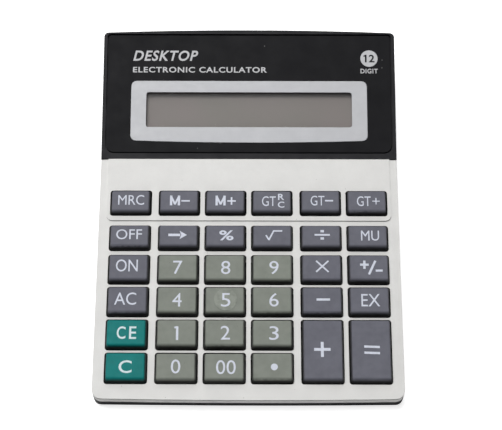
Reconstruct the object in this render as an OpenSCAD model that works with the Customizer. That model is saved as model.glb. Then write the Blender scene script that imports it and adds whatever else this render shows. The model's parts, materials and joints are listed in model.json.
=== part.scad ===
// Desk calculator: sloped key deck, steeper display housing, thirty-four sprung keys.
// The origin is on the table under the middle of the case. +X is right, +Y is away from the user.

/* [Case] */
// Width of the case
body_w = 148; // [145:1:180]
// Length of the key deck, measured along its slope
deck_len = 123.2; // [122.4:0.1:160]
// Length of the display housing, measured along its slope
display_len = 68; // [68:1:90]
// Slope of the key deck in degrees
deck_tilt = 4.5; // [4.5:0.5:7]
// Slope of the display housing in degrees
display_tilt = 12.8; // [12:0.1:18]
// Height of the deck's front edge above the table
front_h = 11; // [11:0.5:16]
// Height at which the two case halves meet
parting_z = 6.2; // [5.8:0.1:6.2]
// Wall of the case halves
wall = 1.8; // [1.4:0.1:2.2]
// Floor of the lower half
floor_t = 1.8; // [1.4:0.1:1.9]
// Thickness of the deck under the face plate
deck_t = 1.5; // [1:0.1:1.6]
// Thickness of the display housing's roof
roof_t = 3.6; // [3.4:0.1:4.2]
// How far the front edge bows out at its middle
front_bow = 0.7; // [0:0.1:3]
// How far the rear edge bows out at its middle
rear_bow = 1.4; // [0:0.1:3]
// Corner radius at the front, seen from above
front_r = 4.5; // [3:0.1:8]
// Corner radius at the rear, seen from above
rear_r = 2.3; // [1.5:0.1:6]
// Chamfer along the bottom edges
base_chamfer = 1.3; // [0.8:0.1:3]

/* [Face plate] */
// Thickness of the silver face plate
face_t = 1; // [0.8:0.1:1.2]
// Depth of the band that wraps down the front and sides
band_h = 4.4; // [2.5:0.1:4.6]
// Height of the raised platform behind the first row of keys
platform_h = 0.65; // [0.3:0.05:1.2]
// Distance from the platform's side to the case's side
platform_inset = 3.7; // [2:0.1:5]
// Radius of the platform's two front corners
platform_r = 3; // [1:0.5:6]
// Seam between the face plate and the display housing
seam = 0.1; // [0.05:0.05:0.3]

/* [Keys] */
// Width of a key opening
opening_w = 20.6; // [17:0.1:20.8]
// Height of an opening in the first two rows
short_h = 13.4; // [11:0.1:13.6]
// Height of an opening in the other rows
long_h = 15.35; // [12.5:0.05:15.5]
// Corner radius of an opening
opening_r = 1.4; // [0.8:0.1:2.5]
// Gap between two columns of one group
col_gap = 2.25; // [1.8:0.05:3]
// Gap between two groups of columns
group_gap = 3.35; // [2.5:0.05:5]
// Gap between two rows of number keys
row_gap = 1.1; // [0.9:0.05:1.5]
// Gap between the second and third rows
block_gap = 1.95; // [1.5:0.05:3]
// Gap between the first and second rows
platform_gap = 4.87; // [3.5:0.01:6]
// Distance from the display housing to the first row
first_row = 17.2; // [15:0.1:20]
// Clearance between a key and its opening, on each side
key_fit = 0.35; // [0.2:0.05:0.5]
// Height of a key above the face plate
key_rise = 3.9; // [3:0.1:5]
// How much narrower than its base a key's top is, on each side
key_taper_x = 0.95; // [0.5:0.05:1.5]
// How much shorter than its base a key's top is, on each end
key_taper_y = 1.15; // [0.5:0.05:2]
// Radius that rounds a key's front and rear edges
key_edge_r = 1.2; // [0.5:0.1:2]
// Wall of a key cap
key_wall = 1.2; // [0.8:0.1:1.5]
// Travel of a key
key_travel = 1.5; // [1:0.1:1.6]

/* [Display] */
// Width of the black panel
panel_w = 143.4; // [130:0.1:143.8]
// Length of the black panel
panel_len = 62; // [55:0.1:62.4]
// Distance from the deck to the panel
panel_from = 3.4; // [2:0.1:6]
// Thickness of the black panel
panel_t = 1.2; // [0.8:0.1:1.4]
// How much deeper the panel lies at its rear edge
panel_sink = 0.65; // [0:0.05:1]
// Clearance around the panel
panel_fit = 0.55; // [0.2:0.05:0.8]
// Width of the silver frame
frame_w = 119.3; // [112:0.1:130]
// Height of the silver frame at its sides
frame_h = 31.5; // [28:0.1:34]
// How far the frame's lower edge bulges at its middle
frame_bulge = 0.95; // [0:0.05:2]
// Distance from the panel's lower edge to the frame's lower corners
frame_from = 6; // [4:0.1:12]
// Thickness of the frame
frame_t = 0.8; // [0.5:0.1:1]
// How far the frame stands proud of the panel
frame_proud = 0.2; // [0:0.05:0.4]
// Width of the window
window_w = 103.9; // [86:0.1:104]
// Height of the window
window_h = 18.4; // [14:0.1:20]
// Distance from the panel's lower edge to the window's
window_from = 13.1; // [11:0.1:16]

/* [Inside] */
// Diameter of the battery cell
cell_d = 14.5; // [12:0.1:14.5]
// Length of the battery cell
cell_len = 50.5; // [42:0.1:60]
// Height of a keypad dome
dome_h = 1.9; // [1.7:0.1:2.2]
// Thickness of the keypad sheet
sheet_t = 0.8; // [0.6:0.1:1]
// Thickness of the circuit board
board_t = 1.2; // [0.8:0.1:1.2]
// Diameter of a case screw's shank
screw_d = 2.2; // [1.6:0.1:2.6]
// Height of the rubber feet below the floor
foot_h = 1.5; // [1:0.1:1.5]
// Diameter of a rubber foot
foot_d = 9; // [6:0.5:12]

/* [Hidden] */
// each key: name, row, column, rows that it spans, colour
KEYS = [
    ["key_mrc", 0, 0, 1, "dark"], ["key_m_minus", 0, 1, 1, "dark"], ["key_m_plus", 0, 2, 1, "dark"],
    ["key_gt_rc", 0, 3, 1, "dark"], ["key_gt_minus", 0, 4, 1, "dark"], ["key_gt_plus", 0, 5, 1, "dark"],
    ["key_off", 1, 0, 1, "dark"], ["key_arrow", 1, 1, 1, "dark"], ["key_percent", 1, 2, 1, "dark"],
    ["key_root", 1, 3, 1, "dark"], ["key_divide", 1, 4, 1, "dark"], ["key_mark_up", 1, 5, 1, "dark"],
    ["key_on", 2, 0, 1, "dark"], ["key_7", 2, 1, 1, "green"], ["key_8", 2, 2, 1, "green"],
    ["key_9", 2, 3, 1, "green"], ["key_times", 2, 4, 1, "dark"], ["key_sign", 2, 5, 1, "dark"],
    ["key_ac", 3, 0, 1, "dark"], ["key_4", 3, 1, 1, "green"], ["key_5", 3, 2, 1, "green"],
    ["key_6", 3, 3, 1, "green"], ["key_minus", 3, 4, 1, "dark"], ["key_exchange", 3, 5, 1, "dark"],
    ["key_ce", 4, 0, 1, "teal"], ["key_1", 4, 1, 1, "green"], ["key_2", 4, 2, 1, "green"],
    ["key_3", 4, 3, 1, "green"], ["key_plus", 4, 4, 2, "dark"], ["key_equals", 4, 5, 2, "dark"],
    ["key_c", 5, 0, 1, "teal"], ["key_0", 5, 1, 1, "green"], ["key_00", 5, 2, 1, "green"],
    ["key_point", 5, 3, 1, "green"]
];

$fn = 48;
eps = 0.02;
big = 400;

// ---- case, worked out from its slopes ----
body_l = deck_len * cos(deck_tilt) + display_len * cos(display_tilt);
front_y = -body_l / 2;
rear_y = body_l / 2;
crease_y = front_y + deck_len * cos(deck_tilt);
crease_z = front_h + deck_len * sin(deck_tilt);
housing_z = crease_z + platform_h;
floor_z = foot_h + floor_t;
plate_fit = 0.05;                            // between the face plate's band and the case
deck_wall = face_t + plate_fit + wall;       // wall of the upper half under the band
bow_steps = 12;
lip_h = 1.2;                                 // tongue of the lower half inside the upper
lip_t = 0.8;
lip_fit = 0.1;

// ---- keys, rows and columns along the deck ----
COL_GAPS = [0, group_gap, col_gap, col_gap, group_gap, col_gap];
ROW_H = [short_h, short_h, long_h, long_h, long_h, long_h];
ROW_GAPS = [0, platform_gap, block_gap, row_gap, row_gap, row_gap];
last_col = len(COL_GAPS) - 1;
last_row = len(ROW_H) - 1;
function sum(v, n) = n < 0 ? 0 : v[n] + sum(v, n - 1);
keys_w = (last_col + 1) * opening_w + sum(COL_GAPS, last_col);
function col_x(c) = -keys_w / 2 + opening_w / 2 + c * opening_w + sum(COL_GAPS, c);
function row_s(r) = first_row + sum(ROW_H, r - 1) + sum(ROW_GAPS, r);
function key_h(k) = row_s(k[1] + k[3] - 1) + ROW_H[k[1] + k[3] - 1] - row_s(k[1]);
function key_s(k) = row_s(k[1]) + key_h(k) / 2;
function gap_x(c) = col_x(c) - opening_w / 2 - COL_GAPS[c] / 2;
function gap_s(r) = row_s(r) - ROW_GAPS[r] / 2;
keys_end = row_s(last_row) + ROW_H[last_row];
platform_len = gap_s(1);

// ---- levels below the face plate's surface ----
deck_under = face_t + deck_t;
ear_gap = 0.1;                               // between a key's ears and the deck
ear_t = 0.8;
ear_reach = 0.7;                             // beyond the opening, on each side
ear_short = 3;                               // ears stop this far from a key's ends
key_foot = deck_under + ear_gap + ear_t;
plunger_d = 4;
plunger_gap = 0.05;
sheet_top = key_foot + dome_h;
board_top = sheet_top + sheet_t;
board_under = board_top + board_t;
dome_d = 9;
dome_top_d = 5.4;
board_from = 9;                              // rear edge of the board, from the crease
board_w = keys_w - 3;
sheet_from = first_row + 1.2;
sheet_w = keys_w - 4;
post_d = 3;
post_hole = 1.4;
post_clear = 0.5;

// ---- display, worked out from the panel's lower edge ----
panel_tilt = display_tilt - asin(panel_sink / panel_len);
panel_low_r = 3.8;
panel_top_r = 1;
frame_r = 2.8;
window_r = 1.3;
window_edge = 4;                             // of the clear window, beyond its opening
window_t = 1;
frame_opening = 1.2;                         // the panel's opening is this much wider than the window
window_mid = window_from + window_h / 2;
lcd_top = roof_t + 0.05;
lcd_t = 2.2;
lcd_edge = 2.4;                              // of the display glass, beyond the window
lcd_w = window_w + 2 * lcd_edge;
lcd_h = window_h + 2 * lcd_edge;
holder_t = 1.4;
holder_rim = 1.6;
holder_fit = 0.15;
holder_ear = 6;
holder_post_d = 4.4;
holder_post_x = lcd_w / 2 + holder_rim + holder_ear / 2 + 0.6;
ribbon_w = 62;
ribbon_t = 0.3;

// ---- battery box in the rear of the lower half ----
cell_clear = 0.5;
box_wall = 1.2;
spring_len = 7;
contact_t = 0.4;
box_in_w = cell_len + spring_len + 2 * contact_t + 0.2;
box_in_l = cell_d + 2 * cell_clear;
box_y = rear_y - rear_bow - wall - box_wall - box_in_l / 2;
door_t = 1.6;
door_fit = 0.2;
door_w = box_in_w + 1;
door_front = box_y - box_in_l / 2 - 1.2;
door_lip_z = parting_z - 1.4;
tongue_w = 1.2;
tongue_t = 0.8;
cell_z = foot_h + door_t + cell_clear + cell_d / 2;
box_top = cell_z + cell_d / 2 + cell_clear;
cell_x = box_in_w / 2 - contact_t - 0.05 - cell_len / 2;
nub_len = 1;
nub_d = 5.5;

// ---- screws: x, y and how the boss meets the roof ----
boss_d = 4.6;
head_d = 4.2;
head_t = 1.3;
screw_grip = 8;
pilot_cover = 1;                             // plastic left above a pilot hole
front_boss_y = front_y + front_bow + 4;
mid_boss_y = crease_y + 6;
rear_boss_y = rear_y - rear_bow - 7;
side_boss_x = body_w / 2 - 8;
SCREWS = [
    [-side_boss_x, front_boss_y], [0, front_boss_y], [side_boss_x, front_boss_y],
    [-side_boss_x, mid_boss_y], [side_boss_x, mid_boss_y],
    [-side_boss_x, rear_boss_y], [side_boss_x, rear_boss_y]
];
function top_z(y) = y < crease_y ? front_h + (y - front_y) * tan(deck_tilt) - face_t
    : housing_z + (y - crease_y) * tan(display_tilt) - panel_t - panel_sink;
function pilot_z(y) = min(parting_z + screw_grip, top_z(y - boss_d / 2) - pilot_cover);
head_z = foot_h + head_t + 0.4;              // where a screw's head bears on its pillar

// board posts sit where a column gap crosses a row gap
POSTS = [
    [gap_x(1), gap_s(1)], [gap_x(4), gap_s(1)],
    [gap_x(1), gap_s(3)], [gap_x(4), gap_s(3)],
    [gap_x(1), gap_s(5)], [gap_x(3), gap_s(5)]
];
FEET = [for (x = [-1, 1], y = [front_y + 17, rear_y - 19]) [x * (body_w / 2 - 15), y]];

// ---- outlines and frames shared by the sub-parts ----
function arc(cx, cy, r, from, n = 4) =
    [for (i = [0:n]) [cx + r * cos(from + 90 * i / n), cy + r * sin(from + 90 * i / n)]];
function round_rect(w, h, r, low_r = -1) = let (b = low_r < 0 ? r : low_r) concat(
    arc(w / 2 - r, h / 2 - r, r, 0), arc(-w / 2 + r, h / 2 - r, r, 90),
    arc(-w / 2 + b, -h / 2 + b, b, 180), arc(w / 2 - b, -h / 2 + b, b, 270));
function bow(x, sag) = sag * pow(2 * x / body_w, 2);

// the case's outline from above, with bowed ends, drawn in by inset
module plan(inset = 0) {
    fr = front_r - min(inset, front_r - 1);
    rr = rear_r - min(inset, rear_r - 1);
    fx = body_w / 2 - inset - fr;
    rx = body_w / 2 - inset - rr;
    polygon(concat(
        [for (i = [1:bow_steps - 1]) let (x = fx * (2 * i / bow_steps - 1))
            [x, front_y + inset + bow(x, front_bow)]],
        arc(fx, front_y + inset + bow(fx, front_bow) + fr, fr, 270, 8),
        arc(rx, rear_y - inset - bow(rx, rear_bow) - rr, rr, 0, 8),
        [for (i = [1:bow_steps - 1]) let (x = rx * (1 - 2 * i / bow_steps))
            [x, rear_y - inset - bow(x, rear_bow)]],
        arc(-rx, rear_y - inset - bow(rx, rear_bow) - rr, rr, 90, 8),
        arc(-fx, front_y + inset + bow(fx, front_bow) + fr, fr, 180, 8)));
}

module column(inset, z0, z1) translate([0, 0, z0]) linear_extrude(z1 - z0) plan(inset);

// frames: on the face plate, on the housing's roof and on the panel
module on_deck() translate([0, crease_y, crease_z]) rotate([deck_tilt, 0, 0]) children();
module on_roof() translate([0, crease_y, housing_z]) rotate([display_tilt, 0, 0]) children();
module on_panel() on_roof() translate([0, panel_from, 0]) rotate([panel_tilt - display_tilt, 0, 0]) children();

// everything below the deck's or the roof's plane, by depth
module below_deck(depth) on_deck() translate([-big / 2, -big, -big - depth]) cube([big, 2 * big, big]);
module below_roof(depth) on_roof() translate([-big / 2, -big, -big - depth]) cube([big, 2 * big, big]);
module ahead_of(y) translate([-big / 2, y - big, -big / 2]) cube([big, big, big]);
module behind(y) translate([-big / 2, y, -big / 2]) cube([big, big, big]);

// an outline in the YZ plane, given width along X
module slab_x(points, w) rotate([90, 0, 90]) translate([0, 0, -w / 2]) linear_extrude(w) polygon(points);
// an outline in the XZ plane, given length along Y
module slab_y(points, l) rotate([90, 0, 0]) translate([0, 0, -l / 2]) linear_extrude(l) polygon(points);
module tube_z(d, z0, z1) translate([0, 0, z0]) cylinder(d = d, h = z1 - z0);

// a wire that bends only in the plane at x, through points [y, z], with mitred bends
function unit(v) = v / norm(v);
module wire(x, route, d, sides = 10) {
    last = len(route) - 1;
    ways = [for (i = [0:last]) let (
        a = unit(route[max(i, 1)] - route[max(i, 1) - 1]),
        b = unit(route[min(i, last - 1) + 1] - route[min(i, last - 1)]),
        n = unit([-a[1] - b[1], a[0] + b[0]])) n / (n * [-a[1], a[0]])];
    polyhedron(
        [for (i = [0:last], j = [0:sides - 1]) let (a = 360 * j / sides, p = route[i] + ways[i] * d / 2 * sin(a))
            [x + d / 2 * cos(a), p[0], p[1]]],
        concat(
            [[for (j = [0:sides - 1]) j]],
            [for (i = [0:last - 1], j = [0:sides - 1]) let (k = (j + 1) % sides)
                [i * sides + j, (i + 1) * sides + j, (i + 1) * sides + k, i * sides + k]],
            [[for (j = [sides - 1:-1:0]) last * sides + j]]));
}

// the same point in the case's frame, for routes that join the deck and the panel
function deck_yz(s, z) = [crease_y - s * cos(deck_tilt) - z * sin(deck_tilt),
    crease_z - s * sin(deck_tilt) + z * cos(deck_tilt)];
function panel_yz(v, z) = [
    crease_y + panel_from * cos(display_tilt) + v * cos(panel_tilt) - z * sin(panel_tilt),
    housing_z + panel_from * sin(display_tilt) + v * sin(panel_tilt) + z * cos(panel_tilt)];

module key_openings() for (k = KEYS) on_deck() translate([col_x(k[2]), -key_s(k), -deck_under - 1])
    linear_extrude(deck_under + platform_h + 2) polygon(round_rect(opening_w, key_h(k), opening_r));

// ---- keys ----
function key_colour(kind) = kind == "teal" ? "#26797a" : kind == "green" ? "#828679" : "#6b6c73";

// side view of a key cap, half depth d at the foot, with rolled edges
function cap_side(d, taper) = concat(
    [[-d, -key_foot], [d, -key_foot], [d, 0]],
    arc(d - taper - key_edge_r, key_rise - key_edge_r, key_edge_r, 0),
    arc(-d + taper + key_edge_r, key_rise - key_edge_r, key_edge_r, 90),
    [[-d, 0]]);
// front view of a key cap, half width w at the foot
function cap_front(w, taper) =
    [[-w, -key_foot], [w, -key_foot], [w, 0], [w - taper, key_rise], [-w + taper, key_rise], [-w, 0]];

module key_cap(k) {
    w = opening_w - 2 * key_fit;
    h = key_h(k) - 2 * key_fit;
    cavity_z = key_rise - key_edge_r - 0.4;
    on_deck() translate([col_x(k[2]), -key_s(k), 0]) difference() {
        union() {
            intersection() {
                translate([0, 0, -key_foot]) linear_extrude(key_foot + key_rise)
                    polygon(round_rect(w, h, opening_r - key_fit));
                slab_x(cap_side(h / 2, key_taper_y), w);
                slab_y(cap_front(w / 2, key_taper_x), h);
            }
            translate([-opening_w / 2 - ear_reach, -h / 2 + ear_short, -key_foot])
                cube([opening_w + 2 * ear_reach, h - 2 * ear_short, ear_t]);
        }
        difference() {
            translate([-w / 2 + key_wall, -h / 2 + key_wall, -key_foot - eps])
                cube([w - 2 * key_wall, h - 2 * key_wall, key_foot + cavity_z + eps]);
            tube_z(plunger_d, -key_foot + plunger_gap, cavity_z + 1);
        }
    }
}

// ---- case ----
module bottom_case() color("#2a2a2c") difference() {
    union() {
        difference() {
            intersection() {
                column(0, foot_h, parting_z);
                slab_x([[front_y + base_chamfer, foot_h], [rear_y - base_chamfer, foot_h],
                    [rear_y, foot_h + base_chamfer], [rear_y, parting_z],
                    [front_y, parting_z], [front_y, foot_h + base_chamfer]], body_w);
                slab_y([[-body_w / 2 + base_chamfer, foot_h], [body_w / 2 - base_chamfer, foot_h],
                    [body_w / 2, foot_h + base_chamfer], [body_w / 2, parting_z],
                    [-body_w / 2, parting_z], [-body_w / 2, foot_h + base_chamfer]], body_l);
            }
            column(wall + lip_t + lip_fit, floor_z, parting_z + 1);
        }
        // the tongue stands inside the upper half's rebate
        difference() {
            column(wall + lip_fit, floor_z, parting_z + lip_h);
            column(wall + lip_t + lip_fit, floor_z - 1, parting_z + lip_h + 1);
            below_deck_front();
        }
        for (p = SCREWS) translate([p[0], p[1], 0]) tube_z(boss_d, floor_z - eps, parting_z - plate_fit);
        battery_box();
    }
    for (p = SCREWS) translate([p[0], p[1], 0]) {
        tube_z(screw_d + 0.3, 0, parting_z + 1);
        tube_z(head_d + 0.4, 0, head_z);
    }
    for (p = FEET) translate([p[0], p[1], 0]) tube_z(foot_d + 0.2, 0, foot_h + 0.7);
    battery_hollow();
    door_opening();
}

// the tongue is left out along the front, where the deck comes down on it
module below_deck_front() ahead_of(front_y + 24);

// open box over the cell, on a flange that joins it to the floor around the door's slot
module battery_box() {
    flange = door_w / 2 + tongue_w + door_fit + 2;
    box_z = foot_h + door_t + door_fit - eps;
    translate([-box_in_w / 2 - box_wall, box_y - box_in_l / 2 - box_wall, box_z])
        cube([box_in_w + 2 * box_wall, box_in_l + 2 * box_wall, box_top + box_wall - box_z]);
    translate([-flange, door_front - 3, box_z])
        cube([2 * flange, box_y + box_in_l / 2 + box_wall - door_front + 3, box_wall]);
}

module battery_hollow() {
    translate([-box_in_w / 2, box_y - box_in_l / 2, 0]) cube([box_in_w, box_in_l, box_top]);
    // notches for the two wires
    for (x = [-1, 1]) translate([x * wire_x - wire_d, box_y - box_in_l / 2 - box_wall - 1, wire_z - wire_d])
        cube([2 * wire_d, box_wall + 2, 2 * wire_d]);
}

// the door's slot, wider above for its two tongues and open at the rear
module door_opening() {
    z_tongue = foot_h + door_t - tongue_t;
    translate([-door_w / 2 - door_fit, door_front - door_fit, 0])
        cube([door_w + 2 * door_fit, body_l, foot_h + door_t + door_fit]);
    translate([-door_w / 2 - tongue_w - door_fit, door_front - door_fit, z_tongue - door_fit])
        cube([door_w + 2 * (tongue_w + door_fit), body_l, tongue_t + 2 * door_fit]);
    translate([-door_w / 2 - door_fit, rear_y - rear_bow - wall - 0.4, 0])
        cube([door_w + 2 * door_fit, rear_bow + wall + 1, door_lip_z + door_fit]);
}

module top_case() color("#262628") difference() {
    union() {
        difference() {
            union() {
                // under the face plate's band
                intersection() {
                    column(0, parting_z, big / 4);
                    ahead_of(crease_y);
                    below_deck(band_h + plate_fit);
                }
                intersection() {
                    column(face_t + plate_fit, parting_z, big / 4);
                    ahead_of(crease_y);
                    below_deck(face_t);
                }
                intersection() {
                    column(0, parting_z, big / 4);
                    behind(crease_y - eps);
                    below_roof(0);
                }
            }
            intersection() {
                column(deck_wall, parting_z - 1, big / 4);
                ahead_of(crease_y + eps);
                below_deck(deck_under);
            }
            intersection() {
                column(wall, parting_z - 1, big / 4);
                behind(crease_y);
                below_roof(roof_t);
            }
            // rebate for the lower half's tongue
            column(wall, parting_z - 1, parting_z + lip_h + 0.2);
        }
        for (p = SCREWS) intersection() {
            translate([p[0], p[1], 0]) tube_z(boss_d, parting_z, big / 4);
            if (p[1] < crease_y) below_deck(deck_under - eps); else below_roof(roof_t - eps);
        }
        for (p = POSTS) on_deck() translate([p[0], -p[1], 0]) tube_z(post_d, -board_top, -deck_under + eps);
        for (x = [-1, 1], v = [-1, 1]) on_panel() translate([x * holder_post_x, window_mid + v * lcd_h / 4, 0])
            tube_z(holder_post_d, -lcd_top - lcd_t, -roof_t + panel_sink);
    }
    key_openings();
    // pocket for the panel, seat for the window and the opening under it
    on_panel() translate([0, panel_len / 2, -panel_t]) linear_extrude(big / 8)
        polygon(round_rect(panel_w + 2 * panel_fit, panel_len + 2 * panel_fit, panel_top_r + panel_fit,
            panel_low_r + panel_fit));
    on_panel() translate([0, window_mid, -panel_t - window_t]) linear_extrude(window_t + 1)
        square([window_w + 2 * window_edge + 0.4, window_h + 2 * window_edge + 0.4], center = true);
    on_panel() translate([0, window_mid, -lcd_top - 1]) linear_extrude(lcd_top)
        square([window_w + frame_opening, window_h + frame_opening], center = true);
    for (p = SCREWS) translate([p[0], p[1], 0]) tube_z(screw_d - 0.4, parting_z - 1, pilot_z(p[1]) + 0.3);
    for (p = POSTS) on_deck() translate([p[0], -p[1], 0]) tube_z(post_hole, -board_top - 1, -deck_under + 0.4);
    for (x = [-1, 1], v = [-1, 1]) on_panel() translate([x * holder_post_x, window_mid + v * lcd_h / 4, 0])
        tube_z(post_hole, -lcd_top - lcd_t - 1, -panel_t - 1);
}

module face_plate() color("#d9d8d6") difference() {
    union() {
        difference() {
            intersection() {
                column(0, parting_z - 1, big / 4);
                ahead_of(crease_y - seam);
                below_deck(0);
            }
            below_deck(band_h);
            intersection() {
                column(face_t, 0, big / 4);
                below_deck(face_t);
            }
        }
        intersection() {
            on_deck() translate([0, -platform_len / 2 + platform_len / 4, -eps]) linear_extrude(platform_h + eps)
                polygon(round_rect(body_w - 2 * platform_inset, platform_len * 1.5, 1, platform_r));
            ahead_of(crease_y - seam);
        }
    }
    key_openings();
}

// ---- display ----
function frame_outline(grow = 0) = let (w = frame_w / 2 + grow, r = frame_r + grow, n = 10) concat(
    arc(w - r, frame_h + grow - r, r, 0), arc(-w + r, frame_h + grow - r, r, 90),
    arc(-w + r, -grow + r, r, 180),
    [for (i = [1:n - 1]) let (x = (w - r) * (2 * i / n - 1))
        [x, -grow - frame_bulge * (1 - pow(x / (w - r), 2))]],
    arc(w - r, -grow + r, r, 270));

module display_panel() color("#252527") on_panel() difference() {
    translate([0, panel_len / 2, -panel_t]) linear_extrude(panel_t)
        polygon(round_rect(panel_w, panel_len, panel_top_r, panel_low_r));
    translate([0, frame_from, frame_proud - frame_t]) linear_extrude(frame_t + 1) polygon(frame_outline(0.05));
    translate([0, window_mid, -panel_t - 1]) linear_extrude(panel_t + 2)
        square([window_w + frame_opening, window_h + frame_opening], center = true);
}

module display_frame() color("#c1c2c5") on_panel() translate([0, 0, frame_proud - frame_t]) difference() {
    translate([0, frame_from, 0]) linear_extrude(frame_t) polygon(frame_outline());
    translate([0, window_mid, -1]) linear_extrude(frame_t + 2) polygon(round_rect(window_w, window_h, window_r));
}

module display_window() color("#d8dcdc", 0.35) on_panel() translate([0, window_mid, -panel_t - window_t])
    linear_extrude(window_t - 0.05)
        square([window_w + 2 * window_edge, window_h + 2 * window_edge], center = true);

module lcd_glass() color("#7f7875") on_panel() translate([0, window_mid, -lcd_top - lcd_t])
    linear_extrude(lcd_t) square([lcd_w, lcd_h], center = true);

// tray that clamps the display glass, open along its lower edge for the ribbon
module lcd_holder() color("#3a3a3c") on_panel() translate([0, window_mid, -lcd_top - lcd_t]) {
    inner_w = lcd_w + 2 * holder_fit;
    inner_h = lcd_h + 2 * holder_fit;
    ear_w = 2 * (holder_post_x + holder_ear / 2);
    difference() {
        union() {
            translate([0, 0, -holder_t]) linear_extrude(holder_t + lcd_t - 0.1)
                square([inner_w + 2 * holder_rim, inner_h + 2 * holder_rim], center = true);
            translate([0, 0, -holder_t]) linear_extrude(holder_t - 0.05)
                square([ear_w, lcd_h / 2 + holder_ear], center = true);
        }
        linear_extrude(lcd_t + 1) square([inner_w, inner_h], center = true);
        translate([-ribbon_w / 2 - 1, -inner_h / 2 - holder_rim - 1, 0]) cube([ribbon_w + 2, holder_rim + 2, lcd_t + 1]);
        for (x = [-1, 1], v = [-1, 1]) translate([x * holder_post_x, v * lcd_h / 4, -holder_t - 1])
            cylinder(d = post_hole + 0.6, h = holder_t + 2, $fn = 32);
    }
}

// flat cable from the display glass to the board's rear edge
function ribbon_side() = let (
    lcd_low = window_mid - lcd_h / 2,
    a = panel_yz(lcd_low - 0.15, -lcd_top - lcd_t + 0.8),
    b = panel_yz(lcd_low - 3.5, -lcd_top - lcd_t + 0.8),
    c = deck_yz(board_from - 4, -board_top + 1.2),
    d = deck_yz(board_from + 0.8, -board_top),
    e = deck_yz(board_from + 4, -board_top),
    up = [0, ribbon_t])
    concat([a + up, b + up, c + up, d + up, e + up], [e, d, c, b, a]);
module lcd_ribbon() color("#b98a4a") slab_x(ribbon_side(), ribbon_w);

// ---- electronics ----
module circuit_board() color("#2f6a3f") on_deck() difference() {
    translate([-board_w / 2, -keys_end, -board_under]) cube([board_w, keys_end - board_from, board_t]);
    for (p = POSTS) translate([p[0], -p[1], 0]) tube_z(post_hole + 0.4, -board_under - 1, -board_top + 1);
}

// flat rubber sheet with one hollow dome under each key
module rubber_keypad() color("#b9bab6") on_deck() difference() {
    union() {
        translate([-sheet_w / 2, -keys_end, -board_top]) cube([sheet_w, keys_end - sheet_from, sheet_t]);
        for (k = KEYS) translate([col_x(k[2]), -key_s(k), -sheet_top - eps])
            cylinder(d1 = dome_d, d2 = dome_top_d, h = dome_h + eps, $fn = 32);
    }
    for (k = KEYS) translate([col_x(k[2]), -key_s(k), -board_top - eps])
        cylinder(d1 = dome_d - 1.6, d2 = dome_top_d - 1.6, h = sheet_t + dome_h - 0.7, $fn = 32);
    for (p = POSTS) translate([p[0], -p[1], 0]) tube_z(post_d + post_clear, -board_top - 1, -sheet_top + 1);
}

chip_s = 24;
module chip_cap() color("#151517") on_deck() translate([8, -chip_s, -board_under]) rotate([180, 0, 0])
    intersection() {
        translate([0, 0, -7.7]) sphere(r = 9.5);
        cylinder(d = 16, h = 4);
    }

// low radial capacitor lying under the board near its rear edge
module capacitor() color("#23355c") on_deck() translate([-24, -board_from - 8, -board_under - 2.6])
    rotate([0, 90, 0]) cylinder(d = 5, h = 11);

module crystal() color("#b9bcc0") on_deck() translate([-2, -board_from - 7.2, -board_under - 3.4])
    linear_extrude(3.3) polygon(round_rect(10.5, 4.2, 2));

// ---- battery ----
wire_d = 1.2;
wire_angle = 37;                             // where the wires pass the cell, above its side
wire_r = cell_d / 2 + wire_d / 2 + 0.1;
wire_x = box_in_w / 2 - contact_t - 0.03 - wire_d / 2 - 0.01;
wire_y = box_y - wire_r * cos(wire_angle);
wire_z = cell_z + wire_r * sin(wire_angle);
module battery_cell() color("#8a5a2b") translate([cell_x - cell_len / 2, box_y, cell_z]) rotate([0, 90, 0]) {
    cylinder(d = cell_d, h = cell_len - nub_len);
    cylinder(d = nub_d, h = cell_len - 0.02);
}

// helical spring of round wire, h high overall
module coil(r, d, h, turns, sides = 6, steps = 14) {
    rings = turns * steps;
    polyhedron(
        [for (i = [0:rings], j = [0:sides - 1]) let (a = 360 * i / steps, b = 360 * j / sides)
            [(r + d / 2 * cos(b)) * cos(a), (r + d / 2 * cos(b)) * sin(a),
             d / 2 + (h - d) * i / rings + d / 2 * sin(b)]],
        concat(
            [[for (j = [sides - 1:-1:0]) j]],
            [for (i = [0:rings - 1], j = [0:sides - 1]) let (k = (j + 1) % sides)
                [i * sides + j, i * sides + k, (i + 1) * sides + k, (i + 1) * sides + j]],
            [[for (j = [0:sides - 1]) rings * sides + j]]));
}

// flat plate behind each end of the cell, wide enough to solder a wire beside the cell
module contact_plate() translate([0, wire_y - 0.6, cell_z - 5])
    cube([contact_t, 2 * (box_y - wire_y + 0.6), wire_z + 0.9 - cell_z + 5]);

module battery_contact() color("#c9cbce") translate([box_in_w / 2 - contact_t - 0.03, 0, 0]) contact_plate();

module battery_spring() color("#c9cbce") translate([-box_in_w / 2 + 0.03, 0, 0]) {
    contact_plate();
    translate([contact_t - 0.3, box_y, cell_z]) rotate([0, 90, 0]) coil(3, 0.8, spring_len + 0.2, 4);
}

module battery_door() color("#29292b") difference() {
    z_tongue = foot_h + door_t - tongue_t;
    intersection() {
        union() {
            translate([-door_w / 2, door_front, foot_h]) cube([door_w, rear_y - door_front, door_t]);
            translate([-door_w / 2 - tongue_w, door_front, z_tongue])
                cube([door_w + 2 * tongue_w, rear_y - door_front - rear_bow - wall, tongue_t]);
            translate([-door_w / 2, rear_y - rear_bow - wall, foot_h]) cube([door_w, rear_bow + wall, door_lip_z - foot_h]);
        }
        column(0, 0, parting_z);
        slab_x([[front_y, foot_h], [rear_y - base_chamfer, foot_h], [rear_y, foot_h + base_chamfer],
            [rear_y, parting_z], [front_y, parting_z]], body_w);
    }
    for (i = [0:4]) translate([-8, door_front + 3 + i * 1.6, foot_h - 1]) cube([16, 0.8, 1.4]);
}

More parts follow.
